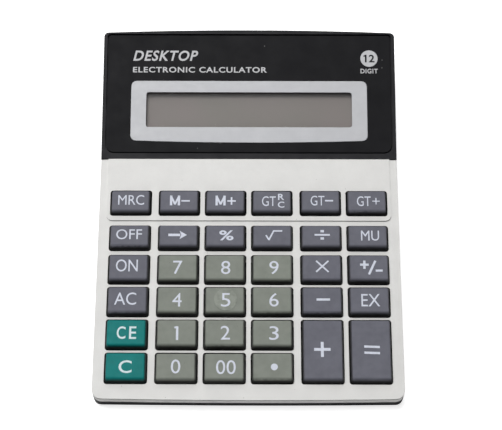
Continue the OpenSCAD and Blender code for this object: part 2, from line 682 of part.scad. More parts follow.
// ---- wires, from the battery contacts to the board's underside ----
function wire_route() = let (
    out_y = box_y - box_in_l / 2 - box_wall - 3,
    low_z = floor_z + 4.5,
    pad = deck_yz(board_from + 3, -board_under))
    [[wire_y, wire_z], [out_y, wire_z], [out_y - 5, low_z], [pad[0] + 1.5, low_z],
     [pad[0], low_z + 1.5], [pad[0], pad[1] - 0.1]];
module red_wire() color("#b3261e") wire(wire_x, wire_route(), wire_d);
module black_wire() color("#1c1c1e") wire(-wire_x, wire_route(), wire_d);

// ---- fasteners and feet ----
module screw(shank_d, shank_l, cap_d, cap_t) {
    difference() {
        translate([0, 0, -cap_t]) cylinder(d = cap_d, h = cap_t);
        for (a = [0, 90]) rotate([0, 0, a]) translate([-cap_d / 3, -0.25, -cap_t - 1]) cube([cap_d * 2 / 3, 0.5, 1.5]);
    }
    translate([0, 0, -eps]) cylinder(d = shank_d, h = shank_l);
}

module case_screws() color("#8f9296") for (p = SCREWS)
    translate([p[0], p[1], head_z - 0.02]) screw(screw_d - 0.45, pilot_z(p[1]) - head_z, head_d, head_t);

module board_screws() color("#a9acb0") for (p = POSTS) on_deck()
    translate([p[0], -p[1], -board_under - 0.02]) screw(post_hole - 0.05, board_under - deck_under, post_d, 0.8);

module holder_screws() color("#a9acb0") for (x = [-1, 1], v = [-1, 1]) on_panel()
    translate([x * holder_post_x, window_mid + v * lcd_h / 4, -lcd_top - lcd_t - holder_t - 0.02])
        screw(post_hole - 0.05, holder_t + lcd_t + 0.6, post_d, 0.8);

module rubber_feet() color("#1d1d1f") for (p = FEET) translate([p[0], p[1], 0]) cylinder(d = foot_d, h = foot_h + 0.68);

for (k = KEYS) color(key_colour(k[4])) key_cap(k);
bottom_case();
top_case();
face_plate();
display_panel();
display_frame();
display_window();
lcd_glass();
lcd_holder();
lcd_ribbon();
circuit_board();
chip_cap();
capacitor();
crystal();
rubber_keypad();
battery_cell();
battery_door();
battery_spring();
battery_contact();
red_wire();
black_wire();
case_screws();
board_screws();
holder_screws();
rubber_feet();
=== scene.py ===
# Desk calculator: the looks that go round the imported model.
# Sizes in the settings are in millimetres and angles in degrees, unless a note says otherwise.
import json
import math
import random
import bmesh
import bpy
from mathutils import Matrix, Vector
from mathutils.bvhtree import BVHTree


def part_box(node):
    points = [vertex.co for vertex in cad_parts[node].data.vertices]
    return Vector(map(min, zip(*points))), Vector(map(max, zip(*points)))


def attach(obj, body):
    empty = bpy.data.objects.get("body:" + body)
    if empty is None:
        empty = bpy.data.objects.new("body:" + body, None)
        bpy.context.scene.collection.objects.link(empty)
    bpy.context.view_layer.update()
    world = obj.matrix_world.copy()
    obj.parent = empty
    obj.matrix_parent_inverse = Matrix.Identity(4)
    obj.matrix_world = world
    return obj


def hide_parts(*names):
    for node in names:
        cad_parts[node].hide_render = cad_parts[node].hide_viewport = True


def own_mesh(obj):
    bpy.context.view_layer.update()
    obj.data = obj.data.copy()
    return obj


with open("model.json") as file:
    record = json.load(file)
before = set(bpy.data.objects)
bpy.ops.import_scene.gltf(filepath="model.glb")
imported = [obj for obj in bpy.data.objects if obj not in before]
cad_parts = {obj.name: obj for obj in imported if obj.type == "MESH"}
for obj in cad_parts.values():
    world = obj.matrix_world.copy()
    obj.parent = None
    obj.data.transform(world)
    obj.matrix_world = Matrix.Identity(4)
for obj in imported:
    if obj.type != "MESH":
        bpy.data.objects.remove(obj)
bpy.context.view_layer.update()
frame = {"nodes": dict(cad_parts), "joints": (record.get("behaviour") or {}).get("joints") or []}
mm = 0.001
scene = bpy.context.scene
print("model loaded:", len(frame["nodes"]), "nodes")


# where things are

def standOn(origin, up):
    # a matrix whose x runs across, y along up and z out of the surface
    across = Vector((1, 0, 0))
    normal = across.cross(up)
    turn = Matrix((across, up, normal)).transposed().to_4x4()
    return Matrix.Translation(origin) @ turn


pressAxis = next(j["axis"] for j in frame["joints"] if j["name"].endswith("_press"))
deckNormal = -Vector(pressAxis)
deckUp = Vector((0, deckNormal.z, -deckNormal.y))

panelSizes = dict(length=62, thick=1.2)


def panelPlace():
    # the panel's front edge and slope, worked out from its box
    low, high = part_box("display_panel")
    length = panelSizes["length"] * mm
    thick = panelSizes["thick"] * mm
    tall = high.z - low.z
    deep = high.y - low.y
    reach = length * length - thick * thick
    up = Vector((0, length * deep - thick * tall, length * tall - thick * deep)) / reach
    up.normalize()
    return standOn(Vector((0, low.y, low.z + thick * up.y)), up)


panelFrame = panelPlace()


# camera, lights and floor

view = dict(lens=103.5, distance=712, elevation=64.5, sideways=1.1, down=30, roll=0.12)


def placeCamera():
    crease = Vector((0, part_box("face_plate")[1].y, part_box("face_plate")[1].z))
    aim = crease - deckUp * view["down"] * mm + Vector((view["sideways"] * mm, 0, 0))
    lift = math.radians(view["elevation"])
    back = Vector((0, -math.cos(lift), math.sin(lift)))
    camera = bpy.data.objects.new("Camera", bpy.data.cameras.new("Camera"))
    camera.data.lens = view["lens"]
    camera.data.sensor_width = 36
    camera.location = aim + back * view["distance"] * mm
    turn = Matrix.Rotation(math.pi / 2 - lift, 4, "X") @ Matrix.Rotation(math.radians(view["roll"]), 4, "Z")
    camera.rotation_euler = turn.to_euler()
    camera.data.clip_start = 0.01
    scene.collection.objects.link(camera)
    scene.camera = camera


placeCamera()

# azimuth 0 is behind the object, 90 on its left
lamps = [
    dict(name="topLamp", azimuth=40, elevation=74, distance=2.4, size=1.1, power=46.5),
    dict(name="rearLamp", azimuth=5, elevation=42, distance=2.4, size=1.2, power=9),
    dict(name="leftLamp", azimuth=85, elevation=30, distance=2.2, size=0.8, power=4),
    dict(name="frontLamp", azimuth=185, elevation=28, distance=2.4, size=1.2, power=5),
]


def placeLamps():
    for lamp in lamps:
        data = bpy.data.lights.new(lamp["name"], "AREA")
        data.size = lamp["size"]
        data.energy = lamp["power"]
        around = math.radians(lamp["azimuth"])
        lift = math.radians(lamp["elevation"])
        away = Vector((-math.sin(around) * math.cos(lift), math.cos(around) * math.cos(lift), math.sin(lift)))
        lampObject = bpy.data.objects.new(lamp["name"], data)
        lampObject.location = away * lamp["distance"]
        lampObject.rotation_euler = away.to_track_quat("Z", "Y").to_euler()
        scene.collection.objects.link(lampObject)


placeLamps()

studio = dict(skyGrey=0.05, backdrop=0.95, floorSize=3.0, floorGrey=0.88, floorGlow=0.75, floorRough=0.9,
              floorGloss=0.1)


def makeStudio():
    world = bpy.data.worlds.new("studio")
    world.use_nodes = True
    sky = world.node_tree.nodes["Background"]
    sky.inputs["Color"].default_value = (1, 1, 1, 1)
    # the backdrop looks as pale as the floor but gives little light
    seen = world.node_tree.nodes.new("ShaderNodeLightPath").outputs["Is Camera Ray"]
    strength = world.node_tree.nodes.new("ShaderNodeMapRange")
    strength.inputs["To Min"].default_value = studio["skyGrey"]
    strength.inputs["To Max"].default_value = studio["backdrop"]
    world.node_tree.links.new(seen, strength.inputs["Value"])
    world.node_tree.links.new(strength.outputs["Result"], sky.inputs["Strength"])
    scene.world = world
    scene.view_settings.view_transform = "Standard"
    bm = bmesh.new()
    bmesh.ops.create_grid(bm, x_segments=1, y_segments=1, size=studio["floorSize"])
    mesh = bpy.data.meshes.new("floor")
    bm.to_mesh(mesh)
    bm.free()
    floor = bpy.data.objects.new("floor", mesh)
    scene.collection.objects.link(floor)
    material = bpy.data.materials.new("floorPaper")
    material.use_nodes = True
    shader = material.node_tree.nodes["Principled BSDF"]
    grey = studio["floorGrey"]
    shader.inputs["Base Color"].default_value = (grey, grey, grey, 1)
    shader.inputs["Roughness"].default_value = studio["floorRough"]
    shader.inputs["Specular IOR Level"].default_value = studio["floorGloss"]
    shader.inputs["Emission Color"].default_value = (1, 1, 1, 1)
    tree = material.node_tree
    # the paper looks white but doesn't light the object from below
    seen = tree.nodes.new("ShaderNodeLightPath").outputs["Is Camera Ray"]
    glow = tree.nodes.new("ShaderNodeMath")
    glow.operation = "MULTIPLY"
    glow.inputs[1].default_value = studio["floorGlow"]
    tree.links.new(seen, glow.inputs[0])
    tree.links.new(glow.outputs[0], shader.inputs["Emission Strength"])
    # and it can be looked through from below
    below = tree.nodes.new("ShaderNodeNewGeometry").outputs["Backfacing"]
    clear = tree.nodes.new("ShaderNodeBsdfTransparent")
    mix = tree.nodes.new("ShaderNodeMixShader")
    tree.links.new(below, mix.inputs[0])
    tree.links.new(shader.outputs[0], mix.inputs[1])
    tree.links.new(clear.outputs[0], mix.inputs[2])
    tree.links.new(mix.outputs[0], tree.nodes["Material Output"].inputs["Surface"])
    mesh.materials.append(material)


makeStudio()
print("studio ready")


# finishes

keyLook = dict(rough=0.55, gloss=0.12, low=0.06, grain=0.16, depth=0.006, mottle=0.06, mottleSize=6,
               specks=0.004, speckGap=5)
inkLook = dict(rough=0.55, grain=0.1, depth=0.002, mottle=0.06, mottleSize=1.5)
wireLook = dict(rough=0.42, grain=0.4, depth=0.008, mottleSize=3)
# grain and depth: size and height of the surface grain; mottle and mottleSize: slow colour drift;
# wear and glint: how much lighter the edges go, as wear and as painted highlight; specks: share of tiny dots,
# with their colour;
# low: how dark the painted shade at the foot of a key cap goes
finishes = {
    "silverPaint": dict(colour=(0.73, 0.725, 0.708), rough=0.5, gloss=0.3, grain=0.35, depth=0.006,
                        mottle=0.025, mottleSize=9, wear=0.12, specks=0.004,
                        speckColour=(0.25, 0.24, 0.22), speckGap=6),
    # painted shade: a dark finish for the front wall of the platform step
    "paintedStepShade": dict(colour=(0.16, 0.16, 0.158), rough=0.6, gloss=0.1, grain=0.3, depth=0.004,
                      mottle=0.1, mottleSize=6),
    "casePlastic": dict(colour=(0.0135, 0.0135, 0.016), rough=0.5, gloss=0.12, grain=0.3, depth=0.012,
                        mottle=0.12, mottleSize=14, wear=0.35, specks=0.003,
                        speckColour=(0.12, 0.12, 0.12), speckGap=9),
    "panelPlastic": dict(colour=(0.0090, 0.0090, 0.0105), rough=0.5, gloss=0.06, grain=0.22,
                         depth=0.004, mottle=0.08, mottleSize=20, wear=0.3, specks=0.006,
                         speckColour=(0.14, 0.14, 0.14), speckGap=7),
    "keyDark": dict(keyLook, colour=(0.138, 0.140, 0.168), wear=0.5, speckColour=(0.05, 0.05, 0.05)),
    "keyGreen": dict(keyLook, colour=(0.225, 0.242, 0.212), wear=0.4, speckColour=(0.08, 0.08, 0.08)),
    "keyTeal": dict(keyLook, colour=(0.006, 0.188, 0.179), wear=0.45, speckColour=(0.02, 0.06, 0.06)),
    "legendInk": dict(inkLook, colour=(0.61, 0.64, 0.73)),
    "legendInkCool": dict(inkLook, colour=(0.60, 0.74, 0.76)),
    "panelPrint": dict(colour=(0.52, 0.525, 0.54), rough=0.55, grain=0.2, depth=0.003, mottle=0.03,
                       mottleSize=3),
    "frameSilver": dict(colour=(0.48, 0.487, 0.51), rough=0.45, grain=0.25, depth=0.004, mottle=0.025,
                        mottleSize=8, wear=0.1),
    "holderPlastic": dict(colour=(0.02, 0.02, 0.021), rough=0.6, grain=0.3, depth=0.01, mottle=0.1,
                          mottleSize=8),
    "keypadRubber": dict(colour=(0.45, 0.455, 0.44), rough=0.75, grain=0.4, depth=0.01, mottle=0.08,
                         mottleSize=5, soft=0.08),
    "footRubber": dict(colour=(0.02, 0.02, 0.02), rough=0.85, grain=0.25, depth=0.03, mottle=0.2,
                       mottleSize=2, wear=0.3),
    "screwSteel": dict(colour=(0.42, 0.42, 0.43), rough=0.34, metal=1.0, grain=0.25, depth=0.005,
                       mottle=0.1, mottleSize=1.5, wear=0.25),
    "contactSteel": dict(colour=(0.62, 0.61, 0.58), rough=0.28, metal=1.0, grain=0.3, depth=0.004,
                         mottle=0.08, mottleSize=2, wear=0.15),
    "boardGreen": dict(colour=(0.012, 0.075, 0.03), rough=0.3, grain=0.6, depth=0.006, mottle=0.1,
                       mottleSize=6, track=(0.03, 0.15, 0.05)),
    "cellJacket": dict(colour=(0.50, 0.22, 0.07), rough=0.3, grain=0.5, depth=0.003, mottle=0.06,
                       mottleSize=4, metal=0.4, jacket=(0.02, 0.02, 0.022), ring=(0.6, 0.6, 0.58),
                       cap=(0.62, 0.61, 0.58)),
    "capacitorBlue": dict(colour=(0.02, 0.045, 0.14), rough=0.3, grain=0.5, depth=0.004, mottle=0.08,
                          mottleSize=3, stripe=(0.45, 0.5, 0.55)),
    "epoxy": dict(colour=(0.008, 0.008, 0.009), rough=0.22, grain=1.6, depth=0.03, mottle=0.2,
                  mottleSize=2),
    "ribbonFilm": dict(colour=(0.50, 0.24, 0.05), rough=0.35, grain=0.5, depth=0.004, mottle=0.08,
                       mottleSize=4),
    "wireRed": dict(wireLook, colour=(0.42, 0.015, 0.012), mottle=0.1),
    "wireBlack": dict(wireLook, colour=(0.015, 0.015, 0.016), mottle=0.2),
}
# what every finish shares: ranges of noise that count, and how strong each layer is
surface = dict(drift=(0.3, 0.7), fleck=(0.35, 0.65), fleckMix=0.16, fleckShade=0.8, dotOuter=8, dotInner=5,
               rubbedAndGlint=(0.52, 0.62), patchSize=2.5, patches=(0.35, 0.6), rubbedAndGlintLift=2.2, roughSize=0.4,
               roughDetail=4.0, smoother=0.05, rougher=0.06, bump=0.6)
madeFinishes = {}


def addNode(tree, kind, settings=None, **inputs):
    node = tree.nodes.new(kind)
    for name, value in (settings or {}).items():
        setattr(node, name, value)
    for name, value in inputs.items():
        node.inputs[name.replace("_", " ")].default_value = value
    return node


def mixColours(tree, factor, first, second):
    # first and second are sockets or plain colours
    mix = addNode(tree, "ShaderNodeMix", dict(data_type="RGBA"))
    colourInputs = [s for s in mix.inputs if s.type == "RGBA"]
    tree.links.new(factor, mix.inputs[0])
    for socket, value in zip(colourInputs, (first, second)):
        if isinstance(value, tuple):
            socket.default_value = (*value, 1)
        else:
            tree.links.new(value, socket)
    return next(s for s in mix.outputs if s.type == "RGBA")


def noiseOf(tree, coords, size, detail=2.0):
    noise = addNode(tree, "ShaderNodeTexNoise", Scale=1 / (size * mm), Detail=detail)
    tree.links.new(coords, noise.inputs["Vector"])
    return noise.outputs["Fac"]


def spread(tree, value, low, high, to=(0.0, 1.0)):
    # value between low and high, stretched to the range in to
    node = addNode(tree, "ShaderNodeMapRange")
    tree.links.new(value, node.inputs["Value"])
    for name, number in (("From Min", low), ("From Max", high), ("To Min", to[0]), ("To Max", to[1])):
        node.inputs[name].default_value = number
    return node.outputs["Result"]


def times(tree, first, second):
    node = addNode(tree, "ShaderNodeMath", dict(operation="MULTIPLY"))
    tree.links.new(first, node.inputs[0])
    tree.links.new(second, node.inputs[1])
    return node.outputs[0]


def shade(colour, amount):
    return tuple(min(1.0, c * amount) for c in colour)


def finish(name, pattern=None):
    # one material per finish; pattern may redraw its colour
    if name in madeFinishes:
        return madeFinishes[name]
    look = finishes[name]
    material = bpy.data.materials.new(name)
    material.use_nodes = True
    tree = material.node_tree
    shader = tree.nodes["Principled BSDF"]
    coords = addNode(tree, "ShaderNodeTexCoord").outputs["Object"]
    drift = noiseOf(tree, coords, look["mottleSize"])
    colour = look["colour"]
    swing = look["mottle"]
    painted = mixColours(tree, spread(tree, drift, *surface["drift"]), shade(colour, 1 - swing),
                         shade(colour, 1 + swing))
    grain = noiseOf(tree, coords, look["grain"], 3.0)
    fleck = spread(tree, grain, *surface["fleck"], (0.0, surface["fleckMix"]))
    painted = mixColours(tree, fleck, painted, shade(colour, surface["fleckShade"]))
    if look.get("specks"):
        dots = addNode(tree, "ShaderNodeTexVoronoi", Scale=1 / (look["speckGap"] * mm))
        tree.links.new(coords, dots.inputs["Vector"])
        near = spread(tree, dots.outputs["Distance"], look["specks"] * surface["dotOuter"],
                      look["specks"] * surface["dotInner"])
        painted = mixColours(tree, near, painted, look["speckColour"])
    # edges go lighter in patches: partly wear, partly a painted highlight along the edges
    if look.get("wear"):
        edge = addNode(tree, "ShaderNodeNewGeometry").outputs["Pointiness"]
        wornAndGlint = spread(tree, edge, *surface["rubbedAndGlint"], (0.0, look["wear"]))
        patches = spread(tree, noiseOf(tree, coords, surface["patchSize"]), *surface["patches"])
        rubbedAndGlint = times(tree, wornAndGlint, patches)
        painted = mixColours(tree, rubbedAndGlint, painted, shade(colour, surface["rubbedAndGlintLift"]))
    if pattern:
        painted = pattern(tree, coords, painted, look)
    tree.links.new(painted, shader.inputs["Base Color"])
    rough = look["rough"]
    polish = noiseOf(tree, coords, look["mottleSize"] * surface["roughSize"], surface["roughDetail"])
    roughness = spread(tree, polish, *surface["drift"],
                       (rough - surface["smoother"], rough + surface["rougher"]))
    tree.links.new(roughness, shader.inputs["Roughness"])
    shader.inputs["Metallic"].default_value = look.get("metal", 0.0)
    shader.inputs["Specular IOR Level"].default_value = look.get("gloss", 0.5)
    if look.get("soft"):
        shader.inputs["Subsurface Weight"].default_value = look["soft"]
        shader.inputs["Subsurface Scale"].default_value = mm
    bump = addNode(tree, "ShaderNodeBump", Strength=surface["bump"], Distance=look["depth"] * mm)
    tree.links.new(grain, bump.inputs["Height"])
    tree.links.new(bump.outputs["Normal"], shader.inputs["Normal"])
    madeFinishes[name] = material
    return material


# making pieces

def addPiece(name, bm, materials, body, nodes=(), smooth=30, weighted=True):
    # turns bm into a finished piece that rides on body and stands for nodes
    if len(bm.faces):
        bmesh.ops.recalc_face_normals(bm, faces=bm.faces)
    mesh = bpy.data.meshes.new(name)
    for face in bm.faces:
        face.smooth = True
    for edge in bm.edges:
        edge.smooth = len(edge.link_faces) == 2 and edge.calc_face_angle(0) < math.radians(smooth)
    bm.to_mesh(mesh)
    bm.free()
    for material in materials:
        mesh.materials.append(material)
    piece = bpy.data.objects.new(name, mesh)
    scene.collection.objects.link(piece)
    if weighted:
        normals = piece.modifiers.new("normals", "WEIGHTED_NORMAL")
        normals.keep_sharp = True
    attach(piece, body)
    if nodes:
        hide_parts(*nodes)
    return piece


def cadCopy(node):
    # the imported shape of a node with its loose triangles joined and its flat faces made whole
    bm = bmesh.new()
    bm.from_mesh(frame["nodes"][node].data)
    bmesh.ops.remove_doubles(bm, verts=bm.verts, dist=0.002 * mm)
    bmesh.ops.dissolve_degenerate(bm, edges=bm.edges, dist=0.001 * mm)
    bmesh.ops.dissolve_limit(bm, angle_limit=math.radians(0.2), verts=bm.verts, edges=bm.edges)
    return bm


def openEdges(bm, angle=40, reach=4):
    # convex edges sharper than angle that nothing stands over
    tree = BVHTree.FromBMesh(bm)
    chosen = []
    for edge in bm.edges:
        if len(edge.link_faces) != 2 or edge.calc_face_angle_signed(0) < math.radians(angle):
            continue
        outward = (edge.link_faces[0].normal + edge.link_faces[1].normal).normalized()
        middle = (edge.verts[0].co + edge.verts[1].co) / 2
        if tree.ray_cast(middle + outward * 0.05 * mm, outward, reach * mm)[0] is None:
            chosen.append(edge)
    return chosen


def roundOff(bm, edges, width, segments=3):
    if edges:
        bmesh.ops.bevel(bm, geom=edges, offset=width * mm, offset_type="OFFSET", affect="EDGES",
                        segments=segments, profile=0.5, material=-1, clamp_overlap=True, loop_slide=True)


def refine(node, finishName, body, width=0.0, segments=2, pattern=None):
    # a node's shape with its open edges softened
    bm = cadCopy(node)
    if width:
        roundOff(bm, openEdges(bm), width, segments)
    name = "".join(word.capitalize() if i else word for i, word in enumerate(node.split("_")))
    return addPiece(name, bm, [finish(finishName, pattern)], body, [node])


# keys

cap = dict(foot=3.4, rise=3.9, taperX=0.95, taperY=1.15, frontRoll=1.1, rearRoll=0.5, sideEdge=0.4,
           corner=1.05, wall=1.2, hollow=5.6, earReach=0.7, earFit=0.35, earThick=0.8, earShort=2.5,
           earSunk=0.3, plunger=4, play=0.09, turn=0.25, ink=0.03, shadeFoot=1.8, shadeTop=3.85)
nearly = 0.01 * mm                     # what counts as level with, or in line with
inkStep = 0.0015                       # how much higher each mark of a legend lies, in mm
letter = dict(tiny=3.2, small=5.2, large=6.2, digit=6.8, digitWide=4.5, digitStep=0.4, bold=1.15,
              slant=0.95)
# word, x, y, width, letter size and thickening; boldM, x, y, width; bar, x, y, width, height and angle;
# plus, x, y, width, height and stroke; line, both ends and stroke; arrow, x, y, width and height;
# disc, x, y and diameter; all in mm from the middle of the key
legends = {
    "key_mrc": [("word", "MRC", 0.3, 0.5, 12.8, "small", 0)],
    "key_m_minus": [("boldM", -2, 0.2, 5), ("bar", 3.2, 0, 4.2, 0.8, 0)],
    "key_m_plus": [("boldM", -2.4, 0.2, 5), ("plus", 3, 0, 4.2, 4, 0.8)],
    "key_gt_rc": [("word", "GT", -1.5, 0, 6.8, "small", 0), ("word", "R", 4.5, 2.3, 3, "tiny", 0.015),
                  ("word", "C", 4.5, -1.8, 3.2, "tiny", 0.015)],
    "key_gt_minus": [("word", "GT", -1.5, 0.2, 6.8, "small", 0), ("bar", 4.2, 0.2, 4, 0.8, 0)],
    "key_gt_plus": [("word", "GT", -1.5, 0, 6.8, "small", 0), ("plus", 4.5, 0, 3.7, 3.4, 0.5)],
    "key_off": [("word", "OFF", -0.2, 0.7, 12.6, "small", 0)],
    "key_arrow": [("bar", -2, 0.3, 5.8, 1.3, 0), ("arrow", 2.4, 0.3, 3.6, 4.3)],
    "key_percent": [("word", "%", 0.6, 0.3, 7, "small", 0.018)],
    "key_root": [("line", -3, 0.3, -1.6, -2, 0.75), ("line", -1.6, -2, 0.7, 2.6, 0.75),
                 ("line", 0.6, 2.6, 4.8, 2.6, 0.75)],
    "key_divide": [("bar", 0.5, 0.6, 7.5, 0.9, 0), ("bar", 0.5, 2.5, 1.7, 1.2, 0),
                   ("bar", 0.5, -1.3, 1.7, 1.2, 0)],
    "key_mark_up": [("word", "MU", 1.1, 0.3, 8.8, "small", 0)],
    "key_on": [("word", "ON", -0.8, 0.9, 10.6, "large", 0)],
    "key_times": [("line", -2.6, 3.4, 3.2, -2.1, 0.8), ("line", 3.2, 3.4, -2.6, -2.1, 0.8)],
    "key_sign": [("plus", -2.2, 1.5, 4.2, 4.2, 1.15), ("line", 0, -3.3, 3.1, 3.4, 1.1),
                 ("bar", 4.9, -1.5, 3.4, 1.05, 0)],
    "key_ac": [("word", "AC", -1, 0.5, 10.6, "large", 0)],
    "key_minus": [("bar", 0.5, 0.3, 6.5, 1.1, 0)],
    "key_exchange": [("word", "EX", 0.5, 0, 9, "large", 0)],
    "key_ce": [("word", "C", -2.3, 0, 4.2, "large", 0.01), ("word", "E", 3.2, 0, 3.4, "large", 0.01)],
    "key_1": [("bar", 0.3, -0.3, 1.1, 6.7, 0), ("line", -0.9, 2.5, 0.3, 2.8, 0.9)],
    "key_plus": [("plus", -0.4, 0.2, 7.8, 7.4, 1.4)],
    "key_equals": [("bar", 0.4, 1.5, 7.4, 1.1, -2), ("bar", 0.4, -1.5, 7.4, 1.1, -2)],
    "key_c": [("word", "C", 0, -0.3, 6.2, "large", 0.01)],
    "key_00": [("word", "00", 0.8, -0.3, 9.3, "digit", 0)],
    "key_point": [("disc", 0.8, -0.3, 3.3)],
}
for column, digits in enumerate(("740", "852", "963")):
    for digit in digits:
        across = letter["digitStep"] * column
        legends["key_" + digit] = [("word", digit, across, 0, letter["digitWide"], "digit", 0)]


def moveTo(bm, verts, matrix):
    bmesh.ops.transform(bm, matrix=matrix, verts=verts)


def slabAt(bm, x, y, width, height, angle, thick, base):
    # a thin flat bar lying at height base
    made = bmesh.ops.create_cube(bm, size=1)["verts"]
    place = (Matrix.Translation(Vector((x, y, base + thick / 2)) * mm) @ Matrix.Rotation(angle, 4, "Z")
             @ Matrix.Diagonal(Vector((width, height, thick, 1 / mm)) * mm))
    moveTo(bm, made, place)


def wordAt(bm, word, x, y, width, height, thicken, thick, base, shear=0.0, gap=1.0):
    # a word fitted into a width by height box round x, y
    curve = bpy.data.curves.new("word", "FONT")
    curve.body = word
    curve.offset = thicken
    curve.shear = shear
    curve.space_character = gap
    curve.extrude = 0.5
    curve.resolution_u = 4
    holder = bpy.data.objects.new("word", curve)
    scene.collection.objects.link(holder)
    bpy.context.view_layer.update()
    mesh = bpy.data.meshes.new_from_object(holder.evaluated_get(bpy.context.evaluated_depsgraph_get()))
    bpy.data.objects.remove(holder)
    xs = [v.co.x for v in mesh.vertices]
    ys = [v.co.y for v in mesh.vertices]
    middle = Vector(((min(xs) + max(xs)) / 2, (min(ys) + max(ys)) / 2, 0))
    size = Vector((width / (max(xs) - min(xs)), height / (max(ys) - min(ys)), thick, 1 / mm)) * mm
    place = Matrix.Translation(Vector((x, y, base + thick / 2)) * mm)
    mesh.transform(place @ Matrix.Diagonal(size) @ Matrix.Translation(-middle))
    part = bmesh.new()
    part.from_mesh(mesh)
    bmesh.ops.remove_doubles(part, verts=part.verts, dist=0.0005 * mm)
    bmesh.ops.recalc_face_normals(part, faces=part.faces)
    part.to_mesh(mesh)
    part.free()
    bm.from_mesh(mesh)
    bpy.data.meshes.remove(mesh)


def discAt(bm, x, y, diameter, thick, base, segments=48):
    made = bmesh.ops.create_cone(bm, cap_ends=True, segments=segments, radius1=diameter / 2 * mm,
                                 radius2=(diameter / 2 - thick * 0.4) * mm, depth=thick * mm)["verts"]
    moveTo(bm, made, Matrix.Translation(Vector((x, y, base + thick / 2)) * mm))


def arrowAt(bm, x, y, width, height, thick, base):
    # a swept-back arrow head: a flat diamond with its tail pushed in
    made = bmesh.ops.create_cone(bm, cap_ends=True, segments=4, radius1=1, radius2=1, depth=1)["verts"]
    for vert in made:
        if vert.co.x < -0.5:
            vert.co.x = -0.55
        elif abs(vert.co.y) > 0.5:
            vert.co.x = -1
    bmesh.ops.transform(bm, verts=made, matrix=Matrix.Translation(Vector((x, y, base + thick / 2)) * mm)
                        @ Matrix.Diagonal(Vector((width / 2, height / 2, thick, 1 / mm)) * mm))


def lineAt(bm, x1, y1, x2, y2, stroke, thick, base):
    length = math.hypot(x2 - x1, y2 - y1) + stroke * 0.3
    slabAt(bm, (x1 + x2) / 2, (y1 + y2) / 2, length, stroke, math.atan2(y2 - y1, x2 - x1), thick, base)


def boldMAt(bm, x, y, width, thick, base):
    # two posts and two slanting strokes that meet in the middle
    height = letter["small"]
    side = (width - letter["bold"]) / 2
    rise = (height - letter["slant"]) / 2
    for i, way in enumerate((-1, 1)):
        slabAt(bm, x + way * side, y, letter["bold"], height, 0, thick + i * inkStep, base)
        lineAt(bm, x + way * side, y + rise, x, y - rise * 0.9, letter["slant"],
               thick + (2 + i) * inkStep, base)


def drawLegend(marks, base):
    # all marks of one key, each a hair higher than the last so that no two faces coincide
    bm = bmesh.new()
    for i, mark in enumerate(marks):
        kind = mark[0]
        thick = cap["ink"] + 5 * inkStep * i
        if kind == "word":
            word, x, y, width, size, thicken = mark[1:]
            wordAt(bm, word, x, y, width, letter[size], thicken, thick, base)
        elif kind == "bar":
            x, y, width, height, angle = mark[1:]
            slabAt(bm, x, y, width, height, math.radians(angle), thick, base)
        elif kind == "plus":
            x, y, width, height, stroke = mark[1:]
            slabAt(bm, x, y, width, stroke, 0, thick, base)
            slabAt(bm, x, y, stroke, height, 0, thick + inkStep, base)
        elif kind == "line":
            lineAt(bm, *mark[1:], thick, base)
        elif kind == "boldM":
            boldMAt(bm, *mark[1:], thick, base)
        elif kind == "arrow":
            arrowAt(bm, *mark[1:], thick, base)
        else:
            discAt(bm, *mark[1:], thick, base, 32)
    for face in bm.faces:
        face.material_index = 1
    mesh = bpy.data.meshes.new("legend")
    bm.to_mesh(mesh)
    bm.free()
    return mesh


def keyPlace(node):
    # matrix of the key's centre on the deck, with its width and length
    low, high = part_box(node)
    foot = cap["foot"] * mm
    front = Vector(((low.x + high.x) / 2, low.y, low.z + foot * deckNormal.z))
    length = (high.y - low.y - foot * deckUp.z) / deckUp.y
    width = high.x - low.x - 2 * (cap["earReach"] + cap["earFit"]) * mm
    return standOn(front + deckUp * length / 2, deckUp), width / mm, length / mm


def capBlock(width, length):
    # tapered block with bevel weights on its corners and its top edges
    bm = bmesh.new()
    made = bmesh.ops.create_cube(bm, size=1)["verts"]
    moveTo(bm, made, Matrix.Translation((0, 0, -cap["foot"] / 2 * mm))
           @ Matrix.Diagonal(Vector((width, length, cap["foot"], 1 / mm)) * mm))
    top = max(bm.faces, key=lambda face: face.calc_center_median().z)
    made = bmesh.ops.extrude_face_region(bm, geom=[top])["geom"]
    raised = [item for item in made if isinstance(item, bmesh.types.BMVert)]
    bmesh.ops.delete(bm, geom=[top], context="FACES_ONLY")
    moveTo(bm, raised, Matrix.Translation((0, 0, cap["rise"] * mm))
           @ Matrix.Diagonal((1 - 2 * cap["taperX"] / width, 1 - 2 * cap["taperY"] / length, 1, 1)))
    weights = bm.edges.layers.float.new("bevel_weight_edge")
    roof = cap["rise"] * mm
    for edge in bm.edges:
        first, second = (vert.co for vert in edge.verts)
        flat = abs(first.z - second.z) < nearly
        if not flat:
            edge[weights] = cap["corner"] / cap["frontRoll"]
        elif first.z > roof - nearly:
            if abs(first.x - second.x) < nearly:
                edge[weights] = cap["sideEdge"] / cap["frontRoll"]
            elif first.y < 0:
                edge[weights] = 1.0
            else:
                edge[weights] = cap["rearRoll"] / cap["frontRoll"]
    return bm


def bevelled(bm, width, segments):
    # bm with a weighted bevel applied, as a mesh
    mesh = bpy.data.meshes.new("block")
    bm.to_mesh(mesh)
    bm.free()
    holder = bpy.data.objects.new("block", mesh)
    scene.collection.objects.link(holder)
    bevel = holder.modifiers.new("bevel", "BEVEL")
    bevel.limit_method = "WEIGHT"
    bevel.width = width * mm
    bevel.segments = segments
    bevel.profile = 0.5
    bpy.context.view_layer.update()
    result = bpy.data.meshes.new_from_object(holder.evaluated_get(bpy.context.evaluated_depsgraph_get()))
    bpy.data.objects.remove(holder)
    bpy.data.meshes.remove(mesh)
    return result


